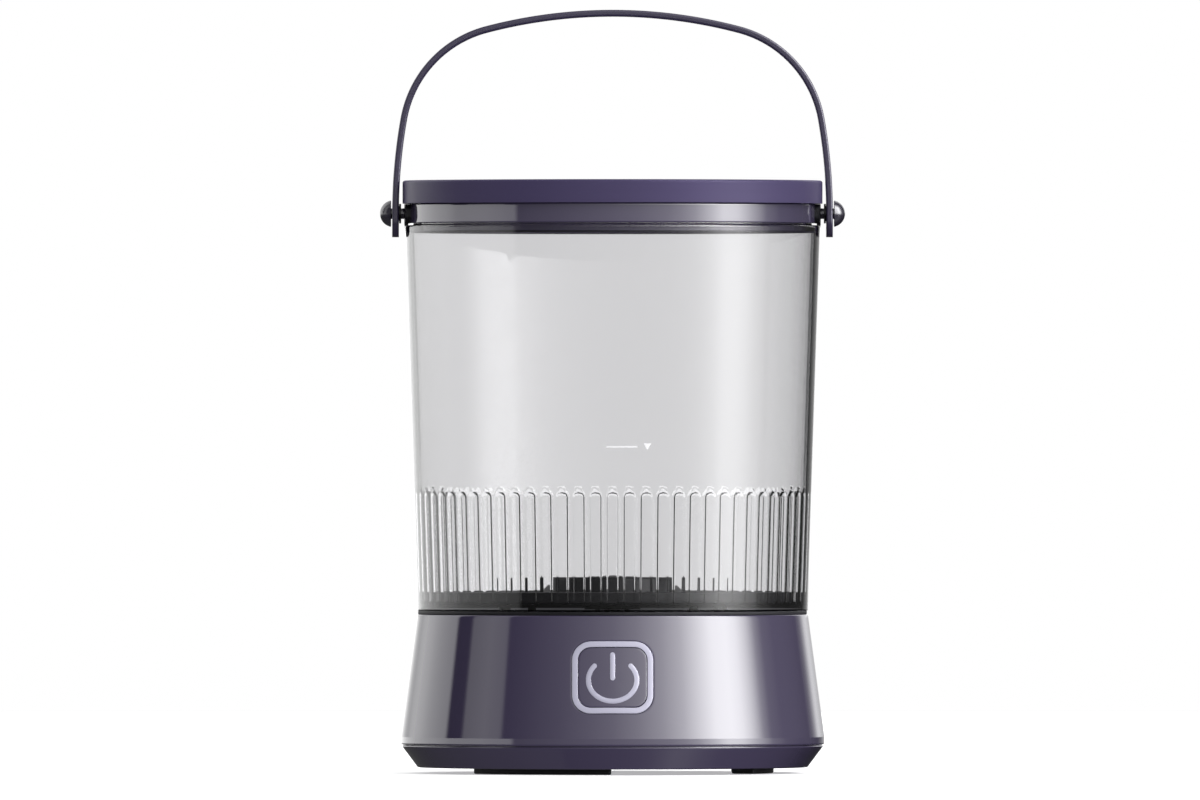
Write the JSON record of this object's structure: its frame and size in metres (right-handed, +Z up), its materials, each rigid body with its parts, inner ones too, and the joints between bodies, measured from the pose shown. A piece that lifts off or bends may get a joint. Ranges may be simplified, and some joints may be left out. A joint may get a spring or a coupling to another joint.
{
  "type": "portable mini washer",
  "caption": "Small round washer: clear ribbed tub with a pulsator on a cone-shaped motor base, a flat lid, a rim collar and a swinging flat-strap bail.",
  "frame": {"origin": "centre of the surface that the feet stand on, on the tub's axis", "axes": "+Z up along the tub's axis, -Y towards the button on the front, +X to the right as seen from the front"},
  "size_m": [0.2084, 0.1904, 0.3419],
  "materials": {
    "gloss_purple": "glossy",
    "satin_purple": "satin",
    "strap_purple": "satin",
    "clear_tub": "clear glossy",
    "black_rubber": "matte",
    "grey_seal": "satin",
    "black_plastic": "satin",
    "dark_metal": "satin",
    "light_trim": "glossy",
    "steel": "brushed",
    "bearing_steel": "polished",
    "white_nylon": "matte",
    "brass": "machined",
    "case_plastic": "matte",
    "copper_winding": "enamelled",
    "circuit_board": "satin",
    "board_black": "satin",
    "cell_wrap": "satin",
    "red_lead": "satin",
    "black_lead": "satin",
    "pale_lead": "satin"
  },
  "bodies": {
    "base": {"base_pan": "gloss_purple", "base_housing": "gloss_purple", "base_screws": "steel", "tub_gasket": "black_rubber", "tub": "clear_tub", "tub_screws": "steel", "shaft_seal": "black_rubber", "rim_collar": "gloss_purple", "pivot_bracket_left": "black_plastic", "pivot_knob_left": "dark_metal", "pivot_bracket_right": "black_plastic", "pivot_knob_right": "dark_metal", "foot_1": "black_rubber", "foot_2": "black_rubber", "foot_3": "black_rubber", "button_frame": "light_trim", "tact_switch": "board_black", "switch_board": "circuit_board", "idler_axle": "steel", "motor_can": "steel", "motor_end": "case_plastic", "motor_screws": "steel", "gear_case": "case_plastic", "gear_cover": "case_plastic", "case_screws": "steel", "lower_bearing": "bearing_steel", "upper_bearing": "bearing_steel", "battery_tray": "case_plastic", "battery_cell_1": "cell_wrap", "battery_cell_2": "cell_wrap", "control_board": "circuit_board", "board_parts": "board_black", "board_screws": "steel", "power_inlet": "steel", "inlet_board": "circuit_board", "motor_leads": "red_lead", "battery_leads": "black_lead", "switch_leads": "pale_lead"},
    "lid": {"lid_cap": "satin_purple", "lid_plug": "gloss_purple", "lid_seal": "grey_seal"},
    "bail": {"bail_strap": "strap_purple", "strap_bush_left": "black_plastic", "strap_bush_right": "black_plastic"},
    "button": {"power_button": "gloss_purple", "power_symbol": "light_trim"},
    "plunger": {"switch_plunger": "black_plastic"},
    "agitator": {"pulsator": "black_plastic", "pulsator_cap": "black_plastic", "pulsator_screw": "steel", "drive_shaft": "steel", "output_gear": "white_nylon"},
    "idler": {"idler_gear": "white_nylon"},
    "rotor": {"motor_pinion": "brass", "motor_shaft": "steel", "motor_armature": "copper_winding"},
    "cover": {"inlet_cover": "strap_purple"}
  },
  "joints": [
    {"name": "lid_lift", "type": "slide", "parent": "base", "child": "lid", "axis": [0, 0, 1], "range_m": [0, 0.0072]},
    {"name": "bail_swing", "type": "hinge", "parent": "base", "child": "bail", "pos_m": [0, 0, 0.2506], "axis": [1, 0, 0], "range_deg": [-67, 67]},
    {"name": "button_press", "type": "slide", "parent": "base", "child": "button", "axis": [0, 0.991, -0.1338], "range_m": [0, 0.001], "stiffness_N_per_m": 900, "springref_m": -0.0008},
    {"name": "plunger_press", "type": "slide", "parent": "base", "child": "plunger", "axis": [0, 0.991, -0.1338], "range_m": [0, 0.001]},
    {"name": "pulsator_spin", "type": "hinge", "parent": "base", "child": "agitator", "pos_m": [0, 0, 0.0727], "axis": [0, 0, 1], "continuous": true},
    {"name": "idler_spin", "type": "hinge", "parent": "base", "child": "idler", "pos_m": [0.035, 0, 0.0511], "axis": [0, 0, 1], "continuous": true},
    {"name": "rotor_spin", "type": "hinge", "parent": "base", "child": "rotor", "pos_m": [0.047, -0.02079, 0.0511], "axis": [0, 0, 1], "continuous": true},
    {"name": "inlet_cover_swing", "type": "hinge", "parent": "base", "child": "cover", "pos_m": [0, 0.09455, 0.01964], "axis": [-1, 0, 0], "range_deg": [0, 100]}
  ],
  "couplings": [
    {"joint": "plunger_press", "follows": "button_press", "ratio": 1},
    {"joint": "idler_spin", "follows": "pulsator_spin", "ratio": -4},
    {"joint": "rotor_spin", "follows": "pulsator_spin", "ratio": 16}
  ]
}
